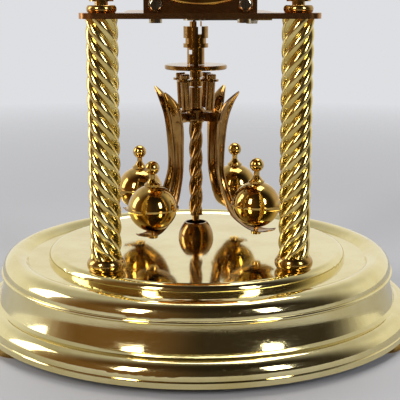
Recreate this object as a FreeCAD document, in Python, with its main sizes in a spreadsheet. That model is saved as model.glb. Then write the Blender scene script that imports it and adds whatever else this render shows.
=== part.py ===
import FreeCAD, Part
import Sketcher
import math
import os

# Anniversary (torsion pendulum) clock. Millimetres, +Z up, origin on the floor under the
# centre of the round base. The front of the clock faces -Y.

doc = FreeCAD.newDocument("AnniversaryClock")
sheet = doc.addObject("Spreadsheet::Sheet", "Sizes")

sizeRows = [
    # base
    ("deckHeight", 35.0),           # deck above the floor
    ("deckRadius", 68.0),
    ("deckEdge", 3.2),              # rounding of the deck's rim
    ("sheetWall", 1.0),             # spun brass sheet
    ("seatDrop", 4.1),              # dome seat below the deck
    ("seatWidth", 9.1),
    ("rollRise", 2.6),              # roll's crest above the seat
    ("rollRun", 5.4),               # from the seat to the crest
    ("rollRound", 6.3),             # outer quarter of the roll
    ("beadRise", 1.6),
    ("beadBulge", 0.8),
    ("skirtRun", 2.0),
    ("skirtFoot", 20.6),            # skirt's lower end below the deck
    ("skirtCurve", 32.0),
    ("flangeStep", 1.6),
    ("flangeRound", 6.3),
    ("shellHeight", 31.6),          # deck to the shell's lower edge
    ("lipHeight", 2.6),
    ("plateWall", 2.0),             # cover plate under the base
    ("plateGap", 0.15),
    ("screwRingInset", 9.5),        # levelling screws, in from the base's rim
    ("wheelRadius", 9.5),
    ("wheelTall", 3.1),
    ("knurlCount", 48.0),
    ("knurlDeep", 0.5),
    ("studRadius", 2.0),
    ("studTall", 9.0),
    # columns
    ("columnX", 39.5),
    ("columnY", -43.5),
    ("columnTop", 104.0),           # platform underside above the deck
    ("columnCrest", 6.6),
    ("columnValley", 5.2),
    ("columnLead", 40.0),
    ("footTall", 5.3),
    ("footRadius", 6.9),
    ("footBulge", 1.2),
    ("boltRadius", 2.0),
    ("boltReach", 12.0),            # thread in the column
    ("boltHead", 4.0),
    # platform
    ("platformWall", 2.3),
    ("platformHalf", 48.5),
    ("platformFront", 8.0),         # column centre to the front edge
    ("platformEnd", 6.0),           # rounding of the bar's ends
    ("tongueHalf", 31.0),
    ("platformBehind", 9.0),        # tongue behind the pendulum axis
    ("collarRadius", 6.1),
    ("collarTall", 3.0),
    ("finialNeck", 2.65),
    ("finialDisc", 4.9),
    # pendulum axis
    ("pendulumBack", 16.0),         # axis behind the back plate
    ("bushRadius", 5.75),
    ("bushHole", 3.3),
    ("bushFlange", 0.8),
    ("leverPivotX", 25.6),
    ("leverWall", 1.1),
    ("leverHighHang", 2.2),
    ("leverTail", 9.1),
    ("leverHalf", 2.2),
    ("pinGap", 0.05),               # running clearance, on the radius
    # pendulum; a size ending in Hang is a depth below the platform's underside
    ("neckRadius", 2.8),
    ("neckTopHang", 2.6),
    ("headRadius", 5.7),
    ("headTopHang", 4.8),
    ("headBottomHang", 10.1),
    ("grooveRadius", 4.8),
    ("ringTopHang", 12.5),
    ("ringBottomHang", 14.4),
    ("tubeRadius", 4.02),
    ("tubeBottomHang", 22.0),
    ("coreRadius", 1.3),
    ("discRadius", 14.4),
    ("discTopHang", 22.2),
    ("discWall", 2.0),
    ("sleeveRadius", 2.7),
    ("sleeveBottomHang", 28.0),
    ("threadRadius", 2.0),
    ("threadBottomHang", 32.0),
    ("starTopHang", 28.5),
    ("starWall", 1.0),
    ("starReach", 12.0),
    ("starBossHang", 32.1),
    ("linkTopR", 8.5),
    ("linkLean", 3.8),
    ("linkRadius", 2.0),
    ("linkTall", 13.0),
    ("hubTopHang", 42.2),
    ("hubBottomHang", 48.7),
    ("hubRadius", 4.2),
    ("hubTubeHang", 32.5),
    ("pivotR", 6.4),
    ("pivotHighHang", 45.8),
    ("lugHalf", 1.2),
    ("earWall", 1.1),
    ("hingePin", 0.6),
    ("armWidth", 7.4),
    ("armDepth", 2.2),
    ("armSheet", 0.8),
    ("armFirst", -37.0),            # azimuth of the first arm
    ("ballR", 33.5),
    ("ballHighHang", 83.7),
    ("ballRadius", 11.0),
    ("ballShort", 0.5),
    ("ridgeRadius", 11.7),
    ("ridgeHalf", 0.4),
    ("rodStud", 1.0),
    ("finialHigh", 18.0),
    ("finialBall", 3.2),
    ("ropeTopHang", 48.7),
    ("ropeBottom", 11.2),
    ("ropeCrest", 3.2),
    ("ropeValley", 2.15),
    ("ropeLead", 27.0),
    ("cupRadius", 8.3),
    ("cupRim", 5.3),
    ("cupTall", 7.8),
    ("cupBore", 4.6),
    # movement
    ("dialRise", 45.7),             # these four are above the platform's top
    ("plateHalf", 22.75),
    ("plateTopRise", 86.7),
    ("plateThick", 1.5),
    ("frontFace", -45.0),           # front plate's front face
    ("plateSpace", 38.0),
    ("pillarX", 18.0),
    ("pillarUp", 3.1),
    ("pillarRadius", 2.6),
    ("headScrew", 2.95),
    ("headScrewTall", 1.7),
    ("pivotRadius", 0.5),
    ("arborRadius", 0.9),
    ("centreRadius", 1.0),
    ("drumRadius", 16.6),
    ("drumWall", 0.9),
    ("drumArbor", 2.2),
    ("ratchetRadius", 8.0),
    ("escapeRadius", 6.5),
    ("anchorUp", 22.2),             # anchor arbor above the centre arbor
    ("dialRadius", 41.2),
    ("dialFace", -50.4),
    ("bezelRadius", 42.6),
    ("springTopRise", 80.7),
    ("forkRise", 75.3),
]


class Size:
    # a number together with the sheet expression that gives it
    def __init__(self, value, text):
        self.value = value
        self.text = text

    def __add__(self, other):
        return Size(self.value + number(other), f"({self.text} + {words(other)})")

    def __radd__(self, other):
        return Size(number(other) + self.value, f"({words(other)} + {self.text})")

    def __sub__(self, other):
        return Size(self.value - number(other), f"({self.text} - {words(other)})")

    def __rsub__(self, other):
        return Size(number(other) - self.value, f"({words(other)} - {self.text})")

    def __mul__(self, other):
        return Size(self.value * number(other), f"({self.text} * {words(other)})")

    def __rmul__(self, other):
        return Size(number(other) * self.value, f"({words(other)} * {self.text})")

    def __truediv__(self, other):
        return Size(self.value / number(other), f"({self.text} / {words(other)})")

    def __neg__(self):
        return Size(-self.value, f"(0 - {self.text})")


def number(value):
    return value.value if isinstance(value, Size) else float(value)


def words(value):
    return value.text if isinstance(value, Size) else f"({float(value)!r})"


def bound(value):
    return isinstance(value, Size) and "Sizes." in value.text


def root(value):
    return Size(math.sqrt(number(value)), f"sqrt({words(value)})")


class SheetSizes:
    pass


s = SheetSizes()
for row, (alias, value) in enumerate(sizeRows, start=1):
    sheet.set(f"A{row}", alias)
    sheet.set(f"B{row}", str(value))
    sheet.setAlias(f"B{row}", alias)
    setattr(s, alias, Size(value, f"Sizes.{alias}"))
doc.recompute()

# sizes that follow from others: heights above the deck, above the floor, and the pendulum's axis
for alias, value in sizeRows:
    if alias.endswith("Hang"):
        setattr(s, alias[:-len("Hang")], s.columnTop - getattr(s, alias))
platformTop = s.deckHeight + s.columnTop + s.platformWall
s.dialHigh = platformTop + s.dialRise
s.plateTop = platformTop + s.plateTopRise
s.springTop = platformTop + s.springTopRise
s.forkHigh = platformTop + s.forkRise
s.pendulumY = s.frontFace + 2 * s.plateThick + s.plateSpace + s.pendulumBack
s.platformBack = s.pendulumY + s.platformBehind

upright = FreeCAD.Rotation()
frontView = FreeCAD.Rotation(FreeCAD.Vector(1, 0, 0), 90)    # local X, Y, Z = right, up, forward
nodes = []


def turnedBy(angle):
    return FreeCAD.Rotation(FreeCAD.Vector(0, 0, 1), angle)


def setSize(item, prop, value):
    if bound(value):
        item.setExpression(prop, value.text)
    else:
        setattr(item, prop, number(value))


def place(item, x, y, z, rotation=upright):
    item.Placement = FreeCAD.Placement(FreeCAD.Vector(number(x), number(y), number(z)), rotation)
    for letter, value in zip("xyz", (x, y, z)):
        if bound(value):
            item.setExpression(f".Placement.Base.{letter}", value.text)
    return item


def keep(item, label):
    item.Label = label
    nodes.append(item)
    return item


def newBody(name):
    return doc.addObject("PartDesign::Body", name)


def newSketch(body, role):
    sketch = body.newObject("Sketcher::SketchObject", f"{body.Name}Sketch")
    plane = [item for item in body.Origin.OriginFeatures if item.Role == role][0]
    sketch.AttachmentSupport = [(plane, "")]
    sketch.MapMode = "FlatFace"
    return sketch


def pin(sketch, geometry, end, x, y):
    for kind, value in (("DistanceX", x), ("DistanceY", y)):
        constraint = Sketcher.Constraint(kind, -1, 1, geometry, end, number(value))
        index = sketch.addConstraint(constraint)
        if bound(value):
            sketch.setExpression(f"Constraints[{index}]", value.text)


def arcEdge(start, end, radius, side):
    # an arc from start to end; side +1 has its centre on the left of the way travelled
    dx, dy = end[0] - start[0], end[1] - start[1]
    chord = math.hypot(dx, dy)
    rise = math.sqrt(max(radius ** 2 - chord ** 2 / 4, 0))
    cx = (start[0] + end[0]) / 2 - side * dy / chord * rise
    cy = (start[1] + end[1]) / 2 + side * dx / chord * rise
    first, last = (start, end) if side > 0 else (end, start)
    angles = [math.atan2(point[1] - cy, point[0] - cx) for point in (first, last)]
    circle = Part.Circle(FreeCAD.Vector(cx, cy, 0), FreeCAD.Vector(0, 0, 1), radius)
    return Part.ArcOfCircle(circle, angles[0], angles[1])


def addOutline(sketch, corners):
    # corners are (x, y), or (x, y, radius, side) where an arc arrives at the corner
    flat = [(number(corner[0]), number(corner[1])) for corner in corners]
    base = sketch.GeometryCount
    ends = []
    for index, corner in enumerate(corners):
        start, end = flat[index - 1], flat[index]
        if len(corner) == 2:
            line = Part.LineSegment(FreeCAD.Vector(*start, 0), FreeCAD.Vector(*end, 0))
            sketch.addGeometry(line, False)
            ends.append((1, 2))
        else:
            sketch.addGeometry(arcEdge(start, end, number(corner[2]), corner[3]), False)
            ends.append((1, 2) if corner[3] > 0 else (2, 1))
    for index in range(len(corners)):
        after = (index + 1) % len(corners)
        joint = ("Coincident", base + index, ends[index][1], base + after, ends[after][0])
        sketch.addConstraint(Sketcher.Constraint(*joint))
    for index, corner in enumerate(corners):
        pin(sketch, base + index, ends[index][1], corner[0], corner[1])
        if len(corner) > 2:
            radius = Sketcher.Constraint("Radius", base + index, number(corner[2]))
            rule = sketch.addConstraint(radius)
            if bound(corner[2]):
                sketch.setExpression(f"Constraints[{rule}]", corner[2].text)


def addCircles(sketch, circles):
    for x, y, radius in circles:
        centre = FreeCAD.Vector(number(x), number(y), 0)
        index = sketch.addGeometry(Part.Circle(centre, FreeCAD.Vector(0, 0, 1), number(radius)), False)
        pin(sketch, index, 3, x, y)
        rule = sketch.addConstraint(Sketcher.Constraint("Radius", index, number(radius)))
        if bound(radius):
            sketch.setExpression(f"Constraints[{rule}]", radius.text)


def turned(name, corners):
    # a lathe-turned piece: the outline (radius, height) goes round the body's Z axis
    body = newBody(name)
    sketch = newSketch(body, "XZ_Plane")
    addOutline(sketch, corners)
    feature = body.newObject("PartDesign::Revolution", f"{name}Turned")
    feature.Profile = sketch
    feature.ReferenceAxis = (sketch, ["V_Axis"])
    feature.Angle = 360
    return body


def padded(name, corners, length, start=0.0):
    body = newBody(name)
    sketch = newSketch(body, "XY_Plane")
    if number(start):
        sketch.AttachmentOffset = FreeCAD.Placement(FreeCAD.Vector(0, 0, number(start)), upright)
        if bound(start):
            sketch.setExpression(".AttachmentOffset.Base.z", start.text)
    addOutline(sketch, corners)
    feature = body.newObject("PartDesign::Pad", f"{name}Pad")
    feature.Profile = sketch
    setSize(feature, "Length", length)
    return body


def drilled(body, circles, role="XY_Plane"):
    sketch = newSketch(body, role)
    addCircles(sketch, circles)
    feature = body.newObject("PartDesign::Pocket", f"{body.Name}Holes")
    feature.Profile = sketch
    feature.Type = "ThroughAll"
    feature.Midplane = True
    return body


def slotted(body, corners, role, depth=None):
    sketch = newSketch(body, role)
    addOutline(sketch, corners)
    feature = body.newObject("PartDesign::Pocket", f"{body.Name}Slot")
    feature.Profile = sketch
    feature.Midplane = True
    if depth is None:
        feature.Type = "ThroughAll"
    else:
        setSize(feature, "Length", depth)
    return body


def rectangle(left, low, right, high):
    return [(left, low), (right, low), (right, high), (left, high)]


def ring(inner, outer, low, high):
    return rectangle(inner, low, outer, high)


def solidCylinder(name, radius, tall):
    item = doc.addObject("Part::Cylinder", name)
    setSize(item, "Radius", radius)
    setSize(item, "Height", tall)
    return item


def solidBox(name, x, y, z):
    item = doc.addObject("Part::Box", name)
    setSize(item, "Length", x)
    setSize(item, "Width", y)
    setSize(item, "Height", z)
    return item


def middleBox(name, centre, wide, deep, tall, rotation=upright):
    item = solidBox(name, wide, deep, tall)
    x, y, z = centre
    return place(item, x - wide / 2, y - deep / 2, z - tall / 2, rotation)


def joined(name, items):
    item = doc.addObject("Part::MultiFuse", name)
    item.Shapes = items
    return item


def cutAway(name, base, tool):
    item = doc.addObject("Part::Cut", name)
    item.Base = base
    item.Tool = tool
    return item


def grouped(name, items):
    item = doc.addObject("Part::Compound", name)
    item.Links = items
    return item


def shaped(name, shape):
    item = doc.addObject("Part::Feature", name)
    item.Shape = shape
    return item


# ---- base ---------------------------------------------------------------------------------

seatRadius = s.deckRadius + s.seatWidth
crestRadius = seatRadius + s.rollRun
beadRadius = crestRadius + s.rollRound
skirtRadius = beadRadius + s.skirtRun
flangeRadius = skirtRadius + s.flangeStep
baseRadius = flangeRadius + s.flangeRound
rollRadius = (s.rollRun * s.rollRun + s.rollRise * s.rollRise) / (2 * s.rollRise)
crestHigh = s.rollRise - s.seatDrop
beadHigh = crestHigh - s.rollRound
screwRing = baseRadius - s.screwRingInset
levellers = {"left": 210.0, "right": 330.0, "rear": 90.0}


def polar(radius, angle):
    # the angle is in degrees, a plain number
    return radius * math.cos(math.radians(angle)), radius * math.sin(math.radians(angle))


def makeBaseShell():
    wall = s.sheetWall
    beadRound = (s.beadRise * s.beadRise / 4 + s.beadBulge * s.beadBulge) / (2 * s.beadBulge)
    beadLow = beadHigh - 0.4 - s.beadRise
    flangeHigh = -s.skirtFoot - 0.9
    lipLine = s.lipHeight - s.shellHeight
    underSeat = -s.seatDrop - wall
    innerRoll = rollRadius - wall
    innerRun = root(innerRoll * innerRoll - (rollRadius - s.rollRise - wall)
                    * (rollRadius - s.rollRise - wall))
    outside = [
        (0.0, 0.0),
        (s.deckRadius - s.deckEdge, 0.0),
        (s.deckRadius, -s.deckEdge, s.deckEdge, -1),
        (s.deckRadius, -s.seatDrop),
        (seatRadius, -s.seatDrop),
        (crestRadius, crestHigh, rollRadius, -1),
        (beadRadius, beadHigh, s.rollRound, -1),
        (beadRadius, beadHigh - 0.4),
        (beadRadius, beadLow, beadRound, -1),
        (beadRadius - 0.6, beadLow - 0.5),
        (skirtRadius, -s.skirtFoot, s.skirtCurve, 1),
        (flangeRadius, flangeHigh),
        (baseRadius, flangeHigh - s.flangeRound, s.flangeRound, -1),
        (baseRadius, lipLine + 0.4),
        (baseRadius - 0.4, lipLine),
        (baseRadius, lipLine - 0.4),
        (baseRadius, -s.shellHeight),
    ]
    inside = [
        (baseRadius - wall, -s.shellHeight),
        (baseRadius - wall, flangeHigh - s.flangeRound),
        (flangeRadius, flangeHigh - wall, s.flangeRound - wall, 1),
        (skirtRadius - wall, -s.skirtFoot - wall),
        (beadRadius - 0.6 - 1.2 * wall, beadLow - 0.5),
        (beadRadius - wall, beadHigh),
        (crestRadius, crestHigh - wall, s.rollRound - wall, 1),
        (crestRadius - innerRun, underSeat, innerRoll, 1),
        (s.deckRadius - wall, underSeat),
        (s.deckRadius - wall, -s.deckEdge),
        (s.deckRadius - s.deckEdge, -wall, s.deckEdge - wall, 1),
        (0.0, -wall),
    ]
    body = turned("base_shell", outside + inside)
    bolt = s.boltRadius
    drilled(body, [(s.columnX, s.columnY, bolt), (-s.columnX, s.columnY, bolt), (0.0, s.pendulumY, bolt)])
    keep(place(body, 0.0, 0.0, s.deckHeight), "base_shell")


def makeBasePlate():
    low = s.plateGap - s.shellHeight
    outer = baseRadius - s.sheetWall - s.plateGap
    body = turned("base_plate", [(0.0, low), (outer, low), (outer, low + s.plateWall), (0.0, low + s.plateWall)])
    holes = [(*polar(screwRing, angle), s.studRadius + s.pinGap) for angle in levellers.values()]
    drilled(body, holes)
    keep(place(body, 0.0, 0.0, s.deckHeight), "base_plate")


def knurledDisc(radius, deep, count, tall):
    points = []
    for tooth in range(count):
        for part, reach in ((0.0, radius), (0.5, radius - deep)):
            angle = 2 * math.pi * (tooth + part) / count
            points.append(FreeCAD.Vector(reach * math.cos(angle), reach * math.sin(angle), 0))
    face = Part.Face(Part.makePolygon(points + points[:1]))
    return face.extrude(FreeCAD.Vector(0, 0, tall))


def makeLevellers():
    for side, angle in levellers.items():
        name = f"levelling_screw_{side}"
        disc = knurledDisc(s.wheelRadius.value, s.knurlDeep.value, int(s.knurlCount.value), s.wheelTall.value)
        wheel = shaped(f"{name}_wheel", disc)
        x, y = polar(screwRing, angle)
        place(wheel, x, y, 0.0)
        stud = solidCylinder(f"{name}_stud", s.studRadius, s.studTall + s.wheelTall)
        place(stud, x, y, 0.0)
        keep(joined(name, [wheel, stud]), name)


def makeCup():
    shoulder = s.cupRadius - s.cupRim
    curve = (s.cupTall * s.cupTall + shoulder * shoulder) / (2 * shoulder)
    corners = [
        (0.0, -1.6), (s.boltRadius, -1.6), (s.boltRadius, 0.0), (s.cupRadius, 0.0),
        (s.cupRim, s.cupTall, curve, 1), (s.cupBore, s.cupTall), (s.cupBore, 1.6), (0.0, 1.6),
    ]
    body = turned("pendulum_cup", corners)
    keep(place(body, 0.0, s.pendulumY, s.deckHeight), "pendulum_cup")


# ---- columns and platform -------------------------------------------------------------------

def makeColumnFeet():
    bulge = (s.footTall * s.footTall / 4 + s.footBulge * s.footBulge) / (2 * s.footBulge)
    feet = []
    for side, sign in (("left", -1), ("right", 1)):
        corners = [(s.boltRadius, 0.0), (s.footRadius, 0.0), (s.footRadius, s.footTall, bulge, 1),
                   (s.boltRadius, s.footTall)]
        feet.append(place(turned(f"column_foot_{side}", corners), sign * s.columnX, s.columnY, s.deckHeight))
    keep(grouped("column_feet", feet), "column_feet")


def lobedWire(count, valley, crest):
    edges = []
    for lobe in range(count):
        angles = [2 * math.pi * (lobe + part) / count for part in (-0.5, 0.0, 0.5)]
        spots = zip((valley, crest, valley), angles)
        points = [FreeCAD.Vector(reach * math.cos(turn), reach * math.sin(turn), 0) for reach, turn in spots]
        edges.append(Part.Arc(*points).toShape())
    return Part.Wire(edges)


def ropeSolid(count, valley, crest, lead, length, leftHanded):
    # the lobed section follows a straight spine and turns with a helix
    spine = Part.Wire(Part.makeLine(FreeCAD.Vector(0, 0, 0), FreeCAD.Vector(0, 0, length)))
    helix = Part.Wire(Part.makeLongHelix(lead, length, valley, 0, leftHanded).Edges)
    pipe = Part.BRepOffsetAPI.MakePipeShell(spine)
    pipe.setAuxiliarySpine(helix, True, 0)
    pipe.add(lobedWire(count, valley, crest))
    pipe.build()
    pipe.makeSolid()
    return pipe.shape()


def makeColumns():
    length = s.columnTop - s.footTall
    for side, sign in (("left", -1), ("right", 1)):
        name = f"column_{side}"
        shape = ropeSolid(6, s.columnValley.value, s.columnCrest.value, s.columnLead.value,
                          length.value, sign < 0)
        rope = place(shaped(f"{name}_rope", shape), sign * s.columnX, s.columnY, s.deckHeight + s.footTall)
        low = solidCylinder(f"{name}_low_thread", s.boltRadius, s.boltReach)
        place(low, sign * s.columnX, s.columnY, s.deckHeight + s.footTall)
        high = solidCylinder(f"{name}_high_thread", s.boltRadius, s.boltReach)
        place(high, sign * s.columnX, s.columnY, s.deckHeight + s.columnTop - s.boltReach)
        keep(cutAway(name, rope, joined(f"{name}_threads", [low, high])), name)


def makeColumnBolts():
    bolts = []
    for side, sign in (("left", -1), ("right", 1)):
        low = -s.sheetWall
        corners = [(0.0, low - 3.0), (s.boltHead, low - 3.0), (s.boltHead, low), (s.boltRadius, low),
                   (s.boltRadius, s.footTall + s.boltReach - 1.0), (0.0, s.footTall + s.boltReach - 1.0)]
        body = turned(f"column_bolt_{side}", corners)
        bolts.append(place(body, sign * s.columnX, s.columnY, s.deckHeight))
    keep(grouped("column_bolts", bolts), "column_bolts")


def makePlatform():
    front = s.columnY - s.platformFront
    back = s.columnY + s.platformFront
    half, tongue, end = s.platformHalf, s.tongueHalf, s.platformEnd
    corners = [
        (half - end, front), (half, front + end, end, 1),
        (half, back - end), (half - end, back, end, 1),
        (tongue + 4.0, back), (tongue, back + 4.0, 4.0, -1),
        (tongue, s.platformBack - 12.0), (tongue - 12.0, s.platformBack, 12.0, 1),
        (12.0 - tongue, s.platformBack), (-tongue, s.platformBack - 12.0, 12.0, 1),
        (-tongue, back + 4.0), (-tongue - 4.0, back, 4.0, -1),
        (end - half, back), (-half, back - end, end, 1),
        (-half, front + end), (end - half, front, end, 1),
    ]
    body = padded("platform", corners, s.platformWall)
    bolt = s.boltRadius
    drilled(body, [
        (s.columnX, s.columnY, bolt), (-s.columnX, s.columnY, bolt),
        (0.0, s.pendulumY, s.bushRadius - 1.2),
        (s.leverPivotX, s.pendulumY, 1.5),
        (-s.pillarX, plateMiddle, 1.5), (s.pillarX, plateMiddle, 1.5),
    ])
    keep(place(body, 0.0, 0.0, s.deckHeight + s.columnTop), "platform")


def makeColumnFinials():
    finials = []
    bulge = 0.7
    curve = (s.collarTall * s.collarTall / 4 + bulge * bulge) / (2 * bulge)
    high = s.collarTall + 1.5
    stem, stemTop, crown = 2.2, 4.2, 6.8
    crownRadius = (stem * stem + crown * crown) / (2 * crown)    # its centre is on the axis
    for side, sign in (("left", -1), ("right", 1)):
        corners = [
            (0.0, 0.5 - s.platformWall - s.boltReach), (s.boltRadius, 0.5 - s.platformWall - s.boltReach),
            (s.boltRadius, 0.0), (s.collarRadius - bulge, 0.0),
            (s.collarRadius - bulge, s.collarTall, curve, 1),
            (s.finialNeck, s.collarTall), (s.finialNeck, high), (s.finialDisc, high),
            (s.finialDisc, high + 1.8), (s.finialNeck, high + 3.0), (stem, high + stemTop),
            (0.0, high + stemTop + crown, crownRadius, 1),
        ]
        body = turned(f"column_finial_{side}", corners)
        finials.append(place(body, sign * s.columnX, s.columnY, platformTop))
    keep(grouped("column_finials", finials), "column_finials")


# ---- suspension guide and locking lever -------------------------------------------------------

def makeGuideBush():
    barrel = s.bushRadius - 1.2
    corners = [(s.bushHole, -s.bushFlange), (s.bushRadius, -s.bushFlange), (s.bushRadius, 0.0),
               (barrel, 0.0), (barrel, s.platformWall), (s.bushHole, s.platformWall)]
    body = turned("guide_bush", corners)
    keep(place(body, 0.0, s.pendulumY, s.deckHeight + s.columnTop), "guide_bush")


def makeLever():
    # a strip with a hook round the pendulum's neck; the hook's slot is an arc about the pivot
    high = s.deckHeight + s.leverHigh
    strip = solidBox("lever_strip", s.leverPivotX + s.leverTail, 2 * s.leverHalf, s.leverWall)
    place(strip, 0.0, s.pendulumY - s.leverHalf, high)
    hook = place(solidCylinder("lever_hook", s.bushRadius, s.leverWall), 0.0, s.pendulumY, high)
    hole = solidCylinder("lever_hole", 1.5 + s.pinGap, s.leverWall)
    place(hole, s.leverPivotX, s.pendulumY, high)
    bore = place(solidCylinder("lever_bore", s.neckRadius + 0.7, s.leverWall), 0.0, s.pendulumY, high)
    outer = solidCylinder("lever_slot_outer", s.leverPivotX + s.neckRadius + 0.7, s.leverWall)
    outer.Angle = 40
    place(outer, s.leverPivotX, s.pendulumY, high, turnedBy(140))
    inner = solidCylinder("lever_slot_inner", s.leverPivotX - s.neckRadius - 0.7, s.leverWall)
    place(inner, s.leverPivotX, s.pendulumY, high)
    sector = cutAway("lever_slot", outer, inner)
    body = joined("lever_blank", [strip, hook])
    keep(cutAway("locking_lever", body, joined("lever_cuts", [hole, bore, sector])), "locking_lever")


def makePlatformScrews():
    under = s.columnTop
    head = s.leverHigh - 0.1
    pivot = [
        (0.0, head - 1.4), (2.6, head - 1.4), (2.9, head), (1.5, head),
        (1.5, s.leverHigh + s.leverWall + 0.1), (2.6, s.leverHigh + s.leverWall + 0.1),
        (2.6, under), (1.5, under), (1.5, under + s.platformWall), (0.0, under + s.platformWall),
    ]
    screws = [place(turned("lever_screw", pivot), s.leverPivotX, s.pendulumY, s.deckHeight)]
    fixing = [(0.0, -1.9), (2.7, -1.9), (2.7, 0.0), (1.5, 0.0), (1.5, s.platformWall), (0.0, s.platformWall)]
    for side, sign in (("left", -1), ("right", 1)):
        body = turned(f"movement_screw_{side}", fixing)
        screws.append(place(body, sign * s.pillarX, plateMiddle, s.deckHeight + under))
    keep(grouped("platform_screws", screws), "platform_screws")


# ---- pendulum ---------------------------------------------------------------------------------

def onAxis(item, rotation=upright):
    return place(item, 0.0, s.pendulumY, s.deckHeight, rotation)


def makePendulumHead():
    core = s.hubTop - 1.6
    corners = [
        (0.0, core), (s.coreRadius, core), (s.coreRadius, s.tubeBottom), (s.tubeRadius, s.tubeBottom),
        (s.tubeRadius, s.ringBottom), (s.bushRadius, s.ringBottom), (s.bushRadius, s.ringTop),
        (s.grooveRadius, s.ringTop), (s.grooveRadius, s.headBottom), (s.headRadius, s.headBottom),
        (s.headRadius, s.headTop), (s.neckRadius, s.headTop), (s.neckRadius, s.neckTop), (0.0, s.neckTop),
    ]
    body = turned("pendulum_head", corners)
    slotted(body, rectangle(0.9, s.headBottom + 1.8, 2.5, s.headTop), "XZ_Plane")
    slotted(body, rectangle(0.3, s.headTop - 0.2, 2.0, s.neckTop + 1.0), "XZ_Plane")
    slotted(body, rectangle(-1.7, s.headTop - 1.7, 0.3, s.neckTop + 1.0), "XZ_Plane", 2.4)
    slotted(body, rectangle(-1.7, s.headTop - 1.7, 0.0, s.headTop), "XZ_Plane", 4.4)
    slotted(body, rectangle(-3.2, s.tubeBottom + 4.6, -1.8, s.tubeBottom + 6.6), "XZ_Plane")
    keep(onAxis(body), "pendulum_head")


def makeRegulatingDisc():
    gap = s.coreRadius + 2 * s.pinGap
    low = s.discTop - s.discWall
    corners = [
        (gap, s.threadBottom), (s.threadRadius, s.threadBottom), (s.threadRadius, s.sleeveBottom),
        (s.sleeveRadius, s.sleeveBottom), (s.sleeveRadius, low), (s.discRadius - 0.4, low),
        (s.discRadius, low + 0.4), (s.discRadius, s.discTop - 0.4), (s.discRadius - 0.4, s.discTop),
        (gap, s.discTop),
    ]
    keep(onAxis(turned("regulating_disc", corners)), "regulating_disc")


def makeStar():
    # four rounded lobes, one over each link, and a threaded boss below
    low = s.starTop - s.starWall
    plate = place(solidCylinder("star_middle", 6.2, s.starWall), 0.0, s.pendulumY, s.deckHeight + low)
    boss = solidCylinder("star_boss", s.sleeveRadius + 0.3, s.starTop - s.starBoss)
    place(boss, 0.0, s.pendulumY, s.deckHeight + s.starBoss)
    solids = [plate, boss]
    holes = []
    for index in range(4):
        angle = number(s.armFirst) + 90 * index
        x, y = polar(s.linkTopR, angle)
        lobe = solidCylinder(f"star_lobe_{index + 1}", s.starReach - s.linkTopR, s.starWall)
        solids.append(place(lobe, x, s.pendulumY + y, s.deckHeight + low))
        hole = solidCylinder(f"star_hole_{index + 1}", 1.35, s.starWall)
        holes.append(place(hole, x, s.pendulumY + y, s.deckHeight + low))
    bore = solidCylinder("star_bore", s.threadRadius + 2 * s.pinGap, s.starTop - s.starBoss)
    holes.append(place(bore, 0.0, s.pendulumY, s.deckHeight + s.starBoss))
    keep(cutAway("star_washer", joined("star_blank", solids), joined("star_cuts", holes)), "star_washer")


def makeLinks():
    # each link hangs from the star and leans in towards its foot
    links = []
    for index in range(4):
        angle = number(s.armFirst) + 90 * index
        low = -s.linkTall
        corners = [
            (0.0, low), (s.linkRadius - 0.4, low), (s.linkRadius, low + 0.4), (s.linkRadius, 0.0),
            (1.2, 0.0), (1.2, s.starWall + 0.4), (2.2, s.starWall + 0.4), (2.2, s.starWall + 2.1),
            (1.9, s.starWall + 2.5), (0.0, s.starWall + 2.5),
        ]
        body = turned(f"link_{index + 1}", corners)
        x, y = polar(s.linkTopR, angle)
        lean = FreeCAD.Rotation(FreeCAD.Vector(0, 1, 0), number(s.linkLean))
        links.append(place(body, x, s.pendulumY + y, s.deckHeight + s.starTop - s.starWall - 0.2,
                           turnedBy(angle).multiply(lean)))
    keep(grouped("arm_links", links), "arm_links")


def makeHub():
    corners = [
        (s.coreRadius, s.hubBottom + 3.2), (1.5, s.hubBottom + 3.2), (1.5, s.hubBottom),
        (s.hubRadius - 0.6, s.hubBottom), (s.hubRadius, s.hubBottom + 0.8), (s.hubRadius, s.hubTop - 0.8),
        (s.hubRadius - 0.6, s.hubTop), (s.sleeveRadius, s.hubTop), (s.sleeveRadius, s.hubTube),
        (s.coreRadius, s.hubTube),
    ]
    solids = [onAxis(turned("hub_boss", corners))]
    holes = []
    reach = s.pivotR + 1.4 - s.hubRadius + 0.6
    for index in range(4):
        angle = number(s.armFirst) + 90 * index
        for side in (-1, 1):
            offset = side * (s.lugHalf + 0.25 + s.earWall / 2)
            ear = solidBox(f"hub_ear_{index + 1}_{'ab'[side > 0]}", reach, s.earWall, 3.2)
            radial = polar(s.hubRadius - 0.6, angle)
            across = polar(offset - s.earWall / 2, angle + 90)
            place(ear, radial[0] + across[0], s.pendulumY + radial[1] + across[1],
                  s.deckHeight + s.pivotHigh - 1.6, turnedBy(angle))
            solids.append(ear)
        holes.append(pinCylinder(f"hub_hole_{index + 1}", index, s.hingePin))
    keep(cutAway("hub", joined("hub_blank", solids), joined("hub_holes", holes)), "hub")


def pinCylinder(name, index, radius):
    # a cylinder along the hinge axis of one arm
    angle = number(s.armFirst) + 90 * index
    length = 2 * (s.lugHalf + 0.25 + s.earWall) + 0.4
    across = polar(length / 2, angle + 90)
    radial = polar(s.pivotR, angle)
    item = solidCylinder(name, radius, length)
    lay = turnedBy(angle).multiply(FreeCAD.Rotation(FreeCAD.Vector(1, 0, 0), -90))
    return place(item, radial[0] - across[0], s.pendulumY + radial[1] - across[1],
                 s.deckHeight + s.pivotHigh, lay)


def makeHingePins():
    pins = [pinCylinder(f"hinge_pin_{index + 1}", index, s.hingePin) for index in range(4)]
    keep(grouped("hinge_pins", pins), "hinge_pins")


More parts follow.
